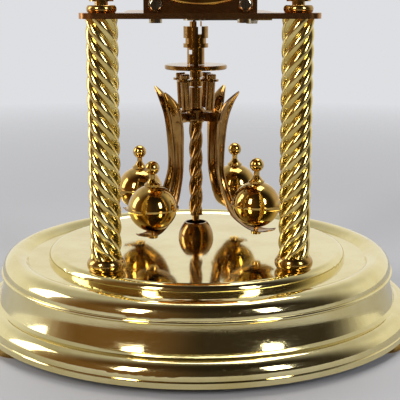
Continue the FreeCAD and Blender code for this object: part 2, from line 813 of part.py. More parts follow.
# stations along the back of an arm: out, up, share of the full width, share of the full depth
armTop = [                          # millimetres from the hinge
    (17.0, 12.7, 0.10, 0.20),
    (15.2, 11.4, 0.48, 0.40),
    (12.2, 8.9, 0.84, 0.65),
    (9.4, 5.3, 1.06, 0.85),
    (7.5, 0.9, 1.00, 1.00),
    (6.4, -4.4, 0.97, 1.00),
    (5.8, -11.3, 0.86, 1.00),
    (5.5, -18.8, 0.76, 1.00),
    (6.0, -26.6, 0.74, 1.00),
]
footDrop = 1.118                    # lowest of the foot, in ball radii under the ball's centre
armFoot = [                         # ball radii from the ball's centre
    (-1.69, 0.30, 0.80, 0.95),
    (-1.318, -0.391, 0.92, 0.75),
    (-0.755, -0.846, 1.04, 0.55),
    (-0.136, -1.095, 1.12, 0.42),
    (0.455, -footDrop, 1.10, 0.42),
    (0.827, -1.018, 0.70, 0.42),
]
bowSteps = 10                       # edges round the hollow of an arm


def armStations():
    hinge = (number(s.pivotR), number(s.pivotHigh), 1.0)
    ball = (number(s.ballR), number(s.ballHigh), number(s.ballRadius))
    path = []
    for (radius, high, scale), stations in ((hinge, armTop), (ball, armFoot)):
        for out, up, share, deepShare in stations:
            path.append((radius + scale * out, high + scale * up, share, deepShare))
    return path


def channelWire(radius, high, share, deepShare, direction):
    # a hollow bow square to the path; its open side faces outward and up
    half = number(s.armWidth) / 2 * share
    deep = number(s.armDepth) * deepShare
    sheet = min(number(s.armSheet), half * 0.6, deep * 0.5)
    outX, outZ = -direction[1], direction[0]
    turns = [math.pi * step / bowSteps for step in range(bowSteps + 1)]
    flat = [(-half * math.cos(turn), deep * (1 - math.sin(turn))) for turn in turns]
    flat += [((half - sheet) * math.cos(turn), deep - (deep - sheet) * math.sin(turn)) for turn in turns]
    points = [FreeCAD.Vector(radius + outX * b, a, high + outZ * b) for a, b in flat]
    return Part.makePolygon(points + points[:1])


def armChannel():
    wires = []
    path = armStations()
    for index, (radius, high, share, deepShare) in enumerate(path):
        before = path[max(index - 1, 0)]
        after = path[min(index + 1, len(path) - 1)]
        dx, dz = after[0] - before[0], after[1] - before[1]
        length = math.hypot(dx, dz)
        wires.append(channelWire(radius, high, share, deepShare, (dx / length, dz / length)))
    return Part.makeLoft(wires, True, False)


def makeArms():
    lugReach = armTop[4][0] + 0.3    # from the hinge into the arm's back
    for index in range(4):
        angle = number(s.armFirst) + 90 * index
        name = f"arm_{index + 1}"
        channel = onAxis(shaped(f"{name}_channel", armChannel()), turnedBy(angle))
        lug = solidBox(f"{name}_lug", lugReach + 1.2, 2 * s.lugHalf, 4.2)
        radial = polar(s.pivotR - 1.2, angle)
        across = polar(s.lugHalf, angle + 90)
        place(lug, radial[0] - across[0], s.pendulumY + radial[1] - across[1],
              s.deckHeight + s.pivotHigh - 2.1, turnedBy(angle))
        hinge = pinCylinder(f"{name}_hinge", index, s.hingePin + s.pinGap)
        stud = solidCylinder(f"{name}_stud_hole", s.rodStud, 8.0)
        x, y = polar(s.ballR, angle)
        place(stud, x, s.pendulumY + y, s.deckHeight + s.ballHigh - s.ballRadius - 6.0)
        body = joined(f"{name}_blank", [channel, lug])
        keep(cutAway(name, body, joined(f"{name}_holes", [hinge, stud])), name)


def makeBalls():
    radius = s.ballRadius
    stud = s.rodStud
    pole = root(radius * radius - stud * stud) - s.ballShort
    equator = root(radius * radius - (s.ballShort + s.ridgeHalf) * (s.ballShort + s.ridgeHalf))
    for index in range(4):
        angle = number(s.armFirst) + 90 * index
        x, y = polar(s.ballR, angle)
        upper = turned(f"ball_{index + 1}_upper", [
            (stud, 0.0), (s.ridgeRadius, 0.0), (s.ridgeRadius, s.ridgeHalf), (equator, s.ridgeHalf),
            (stud, pole, radius, 1),
        ])
        lower = turned(f"ball_{index + 1}_lower", [
            (stud, 0.0), (stud, -pole), (equator, -s.ridgeHalf, radius, 1), (s.ridgeRadius, -s.ridgeHalf),
            (s.ridgeRadius, 0.0),
        ])
        for half in (upper, lower):
            place(half, x, s.pendulumY + y, s.deckHeight + s.ballHigh)
        keep(grouped(f"ball_{index + 1}", [upper, lower]), f"ball_{index + 1}")


def makeBallFinials():
    radius, stud = s.ballRadius, s.rodStud
    pole = root(radius * radius - stud * stud) - s.ballShort
    flare = root(radius * radius - 12.25) - s.ballShort
    neck = s.finialHigh - root(s.finialBall * s.finialBall - 1.69)
    low = -radius * footDrop - 1.6   # the nut stays clear under the arm's foot
    for index in range(4):
        angle = number(s.armFirst) + 90 * index
        x, y = polar(s.ballR, angle)
        finial = turned(f"finial_{index + 1}_turned", [
            (0.0, low), (stud, low), (stud, pole), (3.5, flare, radius, -1), (3.5, flare + 0.9),
            (2.5, flare + 1.6), (1.3, flare + 3.4), (1.3, neck),
            (0.0, s.finialHigh + s.finialBall, s.finialBall, 1),
        ])
        nut = turned(f"finial_{index + 1}_nut", [
            (stud, low + 0.2), (2.1, low + 0.2), (2.3, low + 0.4), (2.3, low + 1.3), (stud, low + 1.3),
        ])
        for item in (finial, nut):
            place(item, x, s.pendulumY + y, s.deckHeight + s.ballHigh)
        keep(grouped(f"ball_finial_{index + 1}", [finial, nut]), f"ball_finial_{index + 1}")


def makeTwistedRod():
    length = s.ropeTop - s.ropeBottom
    shape = ropeSolid(3, s.ropeValley.value, s.ropeCrest.value, s.ropeLead.value, length.value, False)
    rope = place(shaped("twisted_rod_rope", shape), 0.0, s.pendulumY, s.deckHeight + s.ropeBottom)
    tenon = place(solidCylinder("twisted_rod_tenon", 1.5, 4.2), 0.0, s.pendulumY,
                  s.deckHeight + s.ropeTop - 1.0)
    tip = turned("twisted_rod_tip", [(0.0, 2.6), (0.6, 2.6), (1.2, 3.4), (1.2, 6.4), (1.65, 7.6),
                                     (1.65, s.ropeBottom + 0.5), (0.0, s.ropeBottom + 0.5)])
    keep(joined("twisted_rod", [rope, tenon, onAxis(tip)]), "twisted_rod")


def makeSuspension():
    y = s.pendulumY
    block = s.deckHeight + s.columnTop
    upper = middleBox("bottom_block_body", (0.0, y, block + 1.5), 4.0, 1.8, 7.0)
    tongue = middleBox("bottom_block_tongue", (-0.7, y, s.deckHeight + s.headTop + 0.7), 1.2, 1.8, 4.8)
    pinShape = solidCylinder("bottom_block_pin", 0.5, 3.6)
    place(pinShape, -0.7, y + 1.8, s.deckHeight + s.headTop - 1.0, frontView)
    keep(joined("bottom_block", [upper, tongue, pinShape]), "bottom_block")
    springLow = block + 5.0
    strip = solidBox("suspension_strip", 2.2, 0.16, s.springTop - springLow)
    keep(place(strip, -1.1, y - 0.08, springLow), "suspension_spring")
    top = middleBox("top_block_body", (0.0, y, s.springTop + 2.5), 5.0, 2.4, 5.0)
    topPin = solidCylinder("top_block_pin", 0.8, 7.4)
    place(topPin, 0.0, y + 3.7, s.springTop + 2.5, frontView)
    keep(joined("top_block", [top, topPin]), "top_block")
    grip = middleBox("fork_grip", (0.0, y, s.forkHigh), 4.0, 2.6, 2.6)
    slot = middleBox("fork_slot", (0.0, y, s.forkHigh), 2.8, 0.6, 3.0)
    blade = middleBox("fork_blade", (0.0, y - 5.0, s.forkHigh), 2.4, 8.0, 0.7)
    tines = [middleBox(f"fork_tine_{side}", (side * 0.95, y - 11.2, s.forkHigh), 0.5, 5.0, 0.7)
             for side in (-1, 1)]
    keep(cutAway("fork", joined("fork_blank", [grip, blade] + tines), slot), "fork")
    back = s.frontFace + 2 * s.plateThick + s.plateSpace
    plate = middleBox("bracket_foot", (0.0, back + 0.8, s.plateTop - 4.2), 16.0, 1.6, 8.0)
    cheeks = []
    for side in (-1, 1):
        cheeks.append(middleBox(f"bracket_cheek_{side + 2}", (side * 4.0, (y + 4.0 + back) / 2, s.springTop + 2.5),
                                1.6, y + 4.0 - back, 6.0))
    bridge = middleBox("bracket_bridge", (0.0, y + 4.8, s.springTop + 2.5), 9.6, 1.6, 6.0)
    hole = solidCylinder("bracket_hole", 0.8, 9.0)
    place(hole, 0.0, y + 4.5, s.springTop + 2.5, frontView)
    front = middleBox("bracket_front", (0.0, y - 3.6, s.springTop + 2.5), 6.4, 1.2, 6.0)
    blank = joined("bracket_blank", [plate, bridge, front] + cheeks)
    keep(cutAway("suspension_bracket", blank, hole), "suspension_bracket")


# ---- movement -----------------------------------------------------------------------------------

backRear = s.frontFace + 2 * s.plateThick + s.plateSpace
frontRear = s.frontFace + s.plateThick
backFront = frontRear + s.plateSpace
plateMiddle = frontRear + 5.5

mainModule, trainModule, handModule = 0.5, 0.4, 0.48
pinionLeaves, smallLeaves = 12, 10
barrelTeeth, middleTeeth, centreTeeth, thirdTeeth = 72, 48, 50, 40
minuteTeeth, hourTeeth = 36, 40


def pitchSum(module, first, second):
    return module * (first + second) / 2


# arbor places in the front view, from the centre arbor
middleSpot = polar(pitchSum(trainModule, pinionLeaves, middleTeeth), -32.0)
barrelOffset = polar(pitchSum(mainModule, barrelTeeth, pinionLeaves), -130.0)
barrelSpot = (middleSpot[0] + barrelOffset[0], middleSpot[1] + barrelOffset[1])
thirdSpot = polar(pitchSum(trainModule, centreTeeth, smallLeaves), 138.0)
escapeOffset = polar(pitchSum(trainModule, thirdTeeth, smallLeaves), 26.9)
escapeSpot = (thirdSpot[0] + escapeOffset[0], thirdSpot[1] + escapeOffset[1])
minuteSpot = polar(pitchSum(mainModule, pinionLeaves, minuteTeeth), -45.0)
centreSpot = (0.0, 0.0)
clickSpot = (barrelSpot[0] + 10.4, barrelSpot[1] + 6.6)


def bearing(start, end):
    return math.degrees(math.atan2(end[1] - start[1], end[0] - start[0]))


def meshPhase(phase, teeth, otherTeeth, direction):
    # the phase that puts a gap of the other gear over a tooth of this one
    return direction + 180 - (phase - direction) * teeth / otherTeeth + 180 / otherTeeth


def gearSolid(teeth, module, phase, thick, bore=0.0):
    # involute flanks above the base circle, radial below it, with thin teeth for easy running
    pitch = module * teeth / 2
    base = pitch * math.cos(math.radians(20))
    involute = math.tan(math.radians(20)) - math.radians(20)
    tip, low = pitch + 0.8 * module, pitch - 1.3 * module
    half = math.pi / 2 / teeth * 0.84

    def flank(radius):
        turn = math.acos(min(1.0, base / radius))
        return half + involute - (math.tan(turn) - turn)

    reaches = [low] + [max(base, low) + (tip - max(base, low)) * step / 3 for step in range(4)]
    points = []
    for tooth in range(teeth):
        middle = math.radians(phase) + 2 * math.pi * tooth / teeth
        left = [(reach, middle - flank(max(reach, base))) for reach in reaches]
        right = [(reach, middle + flank(max(reach, base))) for reach in reversed(reaches)]
        points += [FreeCAD.Vector(r * math.cos(a), r * math.sin(a), 0) for r, a in left + right]
    face = Part.Face(Part.makePolygon(points + points[:1]))
    solid = face.extrude(FreeCAD.Vector(0, 0, thick))
    if bore:
        solid = solid.cut(Part.makeCylinder(bore, thick))
    return solid


def arbor(name, spot, cylinders, gears, bore=None):
    # cylinders are (radius, rear, front) and gears (teeth, module, phase, rear, front), in depth
    solids = []
    for index, (radius, rear, front) in enumerate(cylinders):
        item = solidCylinder(f"{name}_rod_{index + 1}", radius, rear - front)
        solids.append(place(item, spot[0], rear, s.dialHigh + spot[1], frontView))
    for index, (teeth, module, phase, rear, front) in enumerate(gears):
        item = shaped(f"{name}_gear_{index + 1}", gearSolid(teeth, module, phase, number(rear - front)))
        solids.append(place(item, spot[0], rear, s.dialHigh + spot[1], frontView))
    if bore is None:
        return keep(joined(name, solids), name)
    radius, rear, front = bore
    hole = place(solidCylinder(f"{name}_bore", radius, rear - front), spot[0], rear,
                 s.dialHigh + spot[1], frontView)
    return keep(cutAway(name, joined(f"{name}_blank", solids), hole), name)


def makePlates():
    holeGap = s.pinGap
    pivot = s.pivotRadius + holeGap
    low = platformTop - s.dialHigh
    high = s.plateTop - s.dialHigh
    outline = rectangle(-s.plateHalf, low, s.plateHalf, high)
    pillarLow, pillarHigh = low + s.pillarUp, high - s.pillarUp
    thread = 1.2
    common = [(sign * s.pillarX, up, thread) for sign in (-1, 1) for up in (pillarLow, pillarHigh)]
    common += [(*thirdSpot, pivot), (*middleSpot, pivot), (*escapeSpot, pivot)]
    common += [(*barrelSpot, s.drumArbor + holeGap)]
    front = padded("front_plate", outline, s.plateThick)
    drilled(front, common + [(0.0, 0.0, s.centreRadius + holeGap), (0.0, s.anchorUp, pivot),
                             (*minuteSpot, 0.7)])
    keep(place(front, 0.0, frontRear, s.dialHigh, frontView), "front_plate")
    back = padded("back_plate", outline, s.plateThick)
    drilled(back, common + [(0.0, 0.0, pivot), (0.0, s.anchorUp, s.arborRadius + holeGap),
                            (*clickSpot, 0.8)])
    keep(place(back, 0.0, backRear, s.dialHigh, frontView), "back_plate")
    pillars = []
    screws = []
    for sign in (-1, 1):
        for up in (pillarLow, pillarHigh):
            tag = f"{len(pillars) + 1}"
            pillar = turned(f"pillar_{tag}", ring(thread, s.pillarRadius, 0.0, s.plateSpace))
            pillars.append(place(pillar, sign * s.pillarX, backFront, s.dialHigh + up, frontView))
            screws.append(plateScrew(f"front_screw_{tag}", sign * s.pillarX, s.frontFace,
                                     s.dialHigh + up, frontView))
            rearView = FreeCAD.Rotation(FreeCAD.Vector(1, 0, 0), -90)
            screws.append(plateScrew(f"back_screw_{tag}", sign * s.pillarX, backRear,
                                     s.dialHigh + up, rearView))
    clickScrew = turned("click_screw", [(0.0, -s.plateThick), (0.8, -s.plateThick), (0.8, 1.9), (2.0, 1.9),
                                        (2.0, 2.7), (0.0, 2.7)])
    rearView = FreeCAD.Rotation(FreeCAD.Vector(1, 0, 0), -90)
    screws.append(place(clickScrew, clickSpot[0], backRear, s.dialHigh + clickSpot[1], rearView))
    keep(grouped("pillars", pillars), "pillars")
    keep(grouped("plate_screws", screws), "plate_screws")


def plateScrew(name, x, y, z, rotation):
    reach = -s.plateThick - 5.0
    tall = s.headScrewTall
    corners = [(0.0, reach), (1.2, reach), (1.2, 0.0), (s.headScrew, 0.0), (s.headScrew, tall - 0.9),
               (s.headScrew - 1.1, tall, 1.5, 1), (0.0, tall)]
    body = turned(name, corners)
    slotted(body, rectangle(-0.35, tall - 0.7, 0.35, tall + 0.5), "XZ_Plane")
    return place(body, x, y, z, rotation)


def makeTrain():
    inFront, inBack = frontRear + 0.3, backFront - 0.3
    pinionPhase = meshPhase(0.0, middleTeeth, pinionLeaves, bearing(middleSpot, centreSpot))
    thirdPhase = meshPhase(0.0, centreTeeth, smallLeaves, bearing(centreSpot, thirdSpot))
    escapePhase = meshPhase(0.0, thirdTeeth, smallLeaves, bearing(thirdSpot, escapeSpot))
    barrelPhase = meshPhase(0.0, pinionLeaves, barrelTeeth, bearing(middleSpot, barrelSpot))
    pivotEnds = [(s.pivotRadius, backRear - 0.2, s.frontFace + 0.2)]
    arbor("intermediate_wheel", middleSpot, pivotEnds + [(s.arborRadius, inBack, inFront)],
          [(middleTeeth, trainModule, 0.0, backFront - 3.2, backFront - 4.4),
           (pinionLeaves, mainModule, 0.0, backFront - 4.4, backFront - 9.5)])
    arbor("centre_wheel", centreSpot,
          [(s.pivotRadius, backRear - 0.2, backFront - 1.0), (s.centreRadius, inBack, s.dialFace - 3.9)],
          [(centreTeeth, trainModule, 0.0, frontRear + 2.8, frontRear + 1.6),
           (pinionLeaves, trainModule, pinionPhase, backFront - 2.0, backFront - 5.4)])
    arbor("third_wheel", thirdSpot, pivotEnds + [(s.arborRadius, inBack, inFront)],
          [(smallLeaves, trainModule, thirdPhase, frontRear + 4.2, frontRear + 0.8),
           (thirdTeeth, trainModule, 0.0, backFront - 12.0, backFront - 13.0)])
    escape = arbor("escape_arbor", escapeSpot, pivotEnds + [(s.arborRadius, inBack, inFront)],
                   [(smallLeaves, trainModule, escapePhase, backFront - 10.5, backFront - 14.5)])
    nodes.remove(escape)
    disc = place(shaped("escape_disc", escapeDisc(24, s.escapeRadius.value, 0.9)), escapeSpot[0],
                 backFront - 3.0, s.dialHigh + escapeSpot[1], frontView)
    keep(joined("escape_wheel", [escape, disc]), "escape_wheel")
    makeBarrel(barrelPhase)


def escapeDisc(teeth, tip, thick):
    points = []
    for tooth in range(teeth):
        start = 2 * math.pi * tooth / teeth
        for part, reach in ((0.0, tip - 1.3), (0.55, tip - 1.3), (0.92, tip), (0.99, tip)):
            turn = start + 2 * math.pi / teeth * part
            points.append(FreeCAD.Vector(reach * math.cos(turn), reach * math.sin(turn), 0))
    face = Part.Face(Part.makePolygon(points + points[:1]))
    return face.extrude(FreeCAD.Vector(0, 0, thick))


def makeBarrel(phase):
    # the drum opens to the rear onto the great wheel, which is its rear cover
    rear, front = backFront - 6.0, frontRear + 5.0
    bore = s.drumArbor + 0.3 + 2 * s.pinGap
    x, up = barrelSpot[0], s.dialHigh + barrelSpot[1]
    drum = turned("barrel_drum", [
        (bore, 0.0), (s.drumRadius, 0.0), (s.drumRadius, rear - front), (bore, rear - front),
        (bore, rear - front - s.drumWall), (s.drumRadius - s.drumWall, rear - front - s.drumWall),
        (s.drumRadius - s.drumWall, s.drumWall), (bore, s.drumWall),
    ])
    place(drum, x, rear, up, frontView)
    wheel = shaped("barrel_teeth", gearSolid(barrelTeeth, mainModule, phase, 1.6, number(s.drumRadius) - 1.0))
    place(wheel, x, rear, up, frontView)
    keep(joined("barrel", [drum, wheel]), "barrel")
    inner, outer = s.drumArbor + 3.4, s.drumRadius - s.drumWall - 0.05
    coil = shaped("mainspring", mainspringSolid(number(inner), number(outer), number(rear - front) - 3.0))
    keep(place(coil, x, rear - 1.5, up, frontView), "mainspring")
    rods = [(s.drumArbor, backRear + 2.0, s.frontFace + 0.2), (s.drumArbor + 2.6, rear - 1.4, front + 1.4)]
    shaft = arbor("barrel_shaft", barrelSpot, rods, [])
    nodes.remove(shaft)
    square = middleBox("winding_square", (x, backRear + 5.0, up), 2.9, 8.0, 2.9)
    keep(joined("winding_arbor", [shaft, square]), "winding_arbor")
    teeth = 24
    points = []
    for tooth in range(teeth):
        start = 2 * math.pi * tooth / teeth
        for part, reach in ((0.0, s.ratchetRadius.value - 0.9), (0.95, s.ratchetRadius.value)):
            turn = start + 2 * math.pi / teeth * part
            points.append(FreeCAD.Vector(reach * math.cos(turn), reach * math.sin(turn), 0))
    blank = Part.Face(Part.makePolygon(points + points[:1])).extrude(FreeCAD.Vector(0, 0, 1.4))
    blank = blank.cut(Part.makeCylinder(s.drumArbor.value, 1.4))
    ratchet = shaped("ratchet_wheel", blank)
    keep(place(ratchet, x, backRear + 1.7, up, frontView), "ratchet_wheel")
    away = bearing(clickSpot, barrelSpot)
    click = padded("click", [(-2.2, -1.6), (0.0, -2.1), (2.3, -1.5), (3.9, 0.3), (3.6, 1.3), (0.6, 2.1),
                             (-2.2, 1.6)], 1.4)
    drilled(click, [(0.0, 0.0, 0.8 + s.pinGap)])
    spin = frontView.multiply(turnedBy(away))
    keep(place(click, clickSpot[0], backRear + 1.7, s.dialHigh + clickSpot[1], spin), "click")


def mainspringSolid(inner, outer, wide):
    # a flat spiral strip, run down: most turns lie against the barrel's wall
    strip, turns, steps = 0.35, 9, 30
    points = []
    for step in range(turns * steps + 1):
        part = step / (turns * steps)
        points.append((inner + (outer - strip - inner) * part ** 0.75, 2 * math.pi * turns * part))
    inside = [FreeCAD.Vector(r * math.cos(a), r * math.sin(a), 0) for r, a in points]
    outside = [FreeCAD.Vector((r + strip) * math.cos(a), (r + strip) * math.sin(a), 0)
               for r, a in reversed(points)]
    loop = inside + outside
    face = Part.Face(Part.makePolygon(loop + loop[:1]))
    return face.extrude(FreeCAD.Vector(0, 0, wide))


def makeAnchor():
    up = s.dialHigh + s.anchorUp
    rods = [(s.pivotRadius, backFront - 1.0, s.frontFace + 0.2), (s.arborRadius, backRear + 3.6, frontRear + 0.3)]
    shaft = arbor("anchor_shaft", (0.0, number(s.anchorUp)), rods, [])
    nodes.remove(shaft)
    low = s.anchorUp - (escapeSpot[1] + s.escapeRadius) - 2.6
    reach = s.escapeRadius - 0.3
    frame = padded("anchor_frame", [
        (-reach - 1.2, -low - 4.0), (-reach - 0.2, -low - 4.0), (-reach + 0.8, -low), (0.0, -0.6),
        (reach - 0.8, -low), (reach + 0.2, -low - 4.0), (reach + 1.2, -low - 4.0), (reach + 0.4, -low + 0.6),
        (1.4, 1.5), (-1.4, 1.5), (-reach - 0.4, -low + 0.6),
    ], 1.4)
    place(frame, 0.0, backFront - 2.7, up, frontView)
    pinShape = solidCylinder("anchor_pin", 0.4, 8.2)
    place(pinShape, 0.0, backRear + 3.0, up)
    keep(joined("anchor", [shaft, frame, pinShape]), "anchor")


def makeMotionWork():
    minuteLow = s.frontFace - 0.7
    cannonPhase = meshPhase(0.0, minuteTeeth, pinionLeaves, bearing(minuteSpot, centreSpot))
    hourPhase = meshPhase(0.0, smallLeaves, hourTeeth, bearing(minuteSpot, centreSpot))
    arbor("cannon_pinion", centreSpot, [(1.75, s.frontFace - 0.3, s.dialFace - 3.6)],
          [(pinionLeaves, mainModule, cannonPhase, s.frontFace - 0.4, s.frontFace - 2.0)],
          (s.centreRadius, s.frontFace, s.dialFace - 4.6))
    minute = arbor("minute_blank", minuteSpot, [(1.3, s.frontFace - 0.25, s.frontFace - 4.3)],
                   [(minuteTeeth, mainModule, 0.0, minuteLow, minuteLow - 1.0),
                    (smallLeaves, handModule, 0.0, minuteLow - 1.0, s.frontFace - 4.0)],
                   (0.75, s.frontFace, s.frontFace - 5.0))
    minute.Label = "minute_wheel"
    hour = arbor("hour_blank", centreSpot, [(2.6, s.frontFace - 2.4, s.dialFace - 1.9)],
                 [(hourTeeth, handModule, hourPhase, s.frontFace - 2.5, s.frontFace - 3.5)],
                 (1.85, s.frontFace, s.dialFace - 2.6))
    hour.Label = "hour_wheel"


def handBody(name, length, hub, hole, wide, thick):
    # a tapered hand with a leaf near its tip and a round boss
    corners = [
        (wide * 0.5, hub * 0.8), (wide * 0.4, length * 0.55), (wide * 1.15, length * 0.68),
        (wide * 0.45, length * 0.84), (0.2, length), (-0.2, length), (wide * -0.45, length * 0.84),
        (wide * -1.15, length * 0.68), (wide * -0.4, length * 0.55), (wide * -0.5, hub * 0.8),
    ]
    blade = padded(f"{name}_blade", corners, thick)
    boss = solidCylinder(f"{name}_boss", hub, thick)
    bore = solidCylinder(f"{name}_bore", hole, thick)
    return cutAway(name, joined(f"{name}_blank", [blade, boss]), bore), blade, boss, bore


def makeHands():
    for name, length, hub, hole, wide, rear, turn in (
            ("minute_hand", 34.0, 3.0, 1.75, 2.4, -53.2, -60.0), ("hour_hand", 23.0, 4.2, 2.6, 3.0, -51.6, 55.0)):
        item, blade, boss, bore = handBody(name, length, hub, hole, wide, 0.5)
        spin = frontView.multiply(turnedBy(turn))
        for piece in (blade, boss, bore):
            place(piece, 0.0, rear, s.dialHigh, spin)
        keep(item, name)


def makeDial():
    thick = 0.8
    foot = s.frontFace - s.dialFace - thick
    dial = newBody("dial_disc")
    sketch = newSketch(dial, "XY_Plane")
    addCircles(sketch, [(0.0, 0.0, s.dialRadius), (0.0, 0.0, 3.4)])
    pad = dial.newObject("PartDesign::Pad", "dialPad")
    pad.Profile = sketch
    pad.Length = thick
    rear = s.dialFace + thick
    place(dial, 0.0, rear, s.dialHigh, frontView)
    feet = []
    for index, (x, up) in enumerate(((-18.0, 20.0), (18.0, 20.0), (-18.0, -24.0))):
        item = solidCylinder(f"dial_foot_{index + 1}", 1.0, foot)
        feet.append(place(item, x, s.frontFace, s.dialHigh + up, frontView))
    keep(joined("dial", [dial] + feet), "dial")
    high = 2.3
    inner = s.dialRadius - 1.6
    bezel = turned("dial_bezel", [
        (inner, 0.0), (s.dialRadius, 0.0), (s.dialRadius, -thick), (s.bezelRadius - 0.5, -thick),
        (s.bezelRadius, 0.0 - 0.3), (s.bezelRadius, high - 0.9), (s.bezelRadius - 0.9, high, 0.9, 1),
        (inner + 0.5, high - 0.4), (inner, 0.6),
    ])
    keep(place(bezel, 0.0, s.dialFace, s.dialHigh, frontView), "dial_bezel")


def makeAll():
    makeBaseShell()
    makeBasePlate()
    makeLevellers()
    makeCup()
    makeColumnFeet()
    makeColumns()
    makeColumnBolts()
    makePlatform()
    makeColumnFinials()
    makeGuideBush()
    makeLever()
    makePlatformScrews()
    makePendulumHead()
    makeRegulatingDisc()
    makeStar()
    makeLinks()
    makeHub()
    makeHingePins()
    makeArms()
    makeBalls()
    makeBallFinials()
    makeTwistedRod()
    makeSuspension()
    makePlates()
    makeTrain()
    makeAnchor()
    makeMotionWork()
    makeHands()
    makeDial()


def checkAndWrite():
    doc.recompute()
    faults = [item.Name for item in doc.Objects if "Invalid" in item.State or "Error" in item.State]
    if faults:
        raise RuntimeError(f"failed objects: {faults}")
    os.makedirs("parts", exist_ok=True)
    for item in nodes:
        shape = item.Shape
        if shape.isNull() or not shape.isValid():
            raise RuntimeError(f"{item.Label} has no valid shape")
        shape.exportStep(f"parts/{item.Label}.step")
        print(item.Label, len(shape.Solids), "solids", round(shape.Volume, 2), "mm3")
    print(len(nodes), "nodes")


makeAll()
checkAndWrite()
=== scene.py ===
import math

import bpy
import bmesh
from mathutils import Euler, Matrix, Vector


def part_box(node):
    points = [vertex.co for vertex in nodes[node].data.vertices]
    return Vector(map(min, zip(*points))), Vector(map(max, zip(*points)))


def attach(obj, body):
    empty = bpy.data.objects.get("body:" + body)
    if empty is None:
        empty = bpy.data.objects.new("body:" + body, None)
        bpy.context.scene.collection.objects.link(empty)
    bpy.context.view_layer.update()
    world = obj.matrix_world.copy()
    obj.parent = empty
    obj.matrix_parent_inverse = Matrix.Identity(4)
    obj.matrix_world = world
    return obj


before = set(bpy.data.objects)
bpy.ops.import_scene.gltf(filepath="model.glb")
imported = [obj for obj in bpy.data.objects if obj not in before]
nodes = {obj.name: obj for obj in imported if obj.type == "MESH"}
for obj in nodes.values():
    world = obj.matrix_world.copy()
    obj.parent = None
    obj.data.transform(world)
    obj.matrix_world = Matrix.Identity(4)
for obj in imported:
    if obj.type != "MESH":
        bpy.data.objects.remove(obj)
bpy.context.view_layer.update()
millimetre = 0.001
print("clock loaded:", len(nodes), "nodes")


def hexToLinear(code):
    channels = []
    for start in (0, 2, 4):
        value = int(code.lstrip("#")[start:start + 2], 16) / 255
        channels.append(value / 12.92 if value <= 0.04045 else ((value + 0.055) / 1.055) ** 2.4)
    return (*channels, 1.0)


def addNode(tree, kind, settings=None, links=None):
    # settings go to the node itself where it has them, else to its sockets
    node = tree.nodes.new(kind)
    for name, value in (settings or {}).items():
        if isinstance(name, str) and hasattr(node, name):
            setattr(node, name, value)
        else:
            node.inputs[name].default_value = value
    for name, source in (links or {}).items():
        tree.links.new(source, node.inputs[name])
    return node


cameraView = {
    "place": (-0.0153, -0.4537, 0.1495),    # metres, a little left of the middle
    "lens": 90.64,                          # millimetres
    "turnRight": 2.12,                      # degrees
    "lookDown": 11.68,                      # degrees
    "sensor": 36,                           # millimetres
    "near": 0.01,
    "far": 20,
}

cameraData = bpy.data.cameras.new("clockCamera")
cameraData.lens = cameraView["lens"]
cameraData.sensor_width = cameraView["sensor"]
cameraData.clip_start = cameraView["near"]
cameraData.clip_end = cameraView["far"]
camera = bpy.data.objects.new("clockCamera", cameraData)
camera.location = cameraView["place"]
camera.rotation_euler = Euler((
    math.radians(90 - cameraView["lookDown"]), 0, math.radians(-cameraView["turnRight"]),
))
bpy.context.scene.collection.objects.link(camera)
bpy.context.scene.camera = camera
print("camera placed")


studio = {
    "floorRadius": 2.4,                   # metres
    "floorSides": 96,
    "floorFade": (0.30, 0.95),            # metres from the middle, where the floor melts away
    "floorColour": "#b4b5b9",
    "wallColour": "#d9dadd",              # what is seen behind the clock
    "wallStrength": 1.05,
    "bright": 1.05,                       # the surroundings as the metal sees them
    "dim": 0.36,
    "brightColour": "#efeeea",
    "leftColour": "#b98a55",              # warm wood on the left, far off
    "dimColour": "#5f5449",               # shade in front and on the right
    "aim": (0, 0, 0.09),                  # metres, where every lamp points
    "backFade": (-0.35, 0.35),            # spans of the direction looked in, for each fade
    "leftFade": (0.1, -0.65),
    "ceilingFade": (0.35, 0.8),
    "ceilingDim": 0.55,
}
bpy.context.scene.view_settings.view_transform = "Standard"

floorMesh = bpy.data.meshes.new("studioFloor")
floorBuild = bmesh.new()
bmesh.ops.create_circle(
    floorBuild, cap_ends=True, radius=studio["floorRadius"], segments=studio["floorSides"],
)
floorBuild.to_mesh(floorMesh)
floorBuild.free()
floor = bpy.data.objects.new("studioFloor", floorMesh)
bpy.context.scene.collection.objects.link(floor)


def makeFloorMaterial():
    # matte painted board: pale, with no gloss, and faded out far away
    material = bpy.data.materials.new("mattePaintedBoard")
    material.use_nodes = True
    tree = material.node_tree
    tree.nodes.clear()
    coords = addNode(tree, "ShaderNodeTexCoord")
    reach = addNode(tree, "ShaderNodeVectorMath", {"operation": "LENGTH"}, {0: coords.outputs["Object"]})
    fade = addNode(tree, "ShaderNodeMapRange", {
        "From Min": studio["floorFade"][0], "From Max": studio["floorFade"][1],
    }, {"Value": reach.outputs["Value"]})
    board = addNode(tree, "ShaderNodeBsdfDiffuse", {"Color": hexToLinear(studio["floorColour"])})
    clear = addNode(tree, "ShaderNodeBsdfTransparent")
    mix = addNode(tree, "ShaderNodeMixShader", {}, {
        0: fade.outputs["Result"], 1: board.outputs[0], 2: clear.outputs[0],
    })
    addNode(tree, "ShaderNodeOutputMaterial", {}, {"Surface": mix.outputs[0]})
    return material


floorMesh.materials.append(makeFloorMaterial())


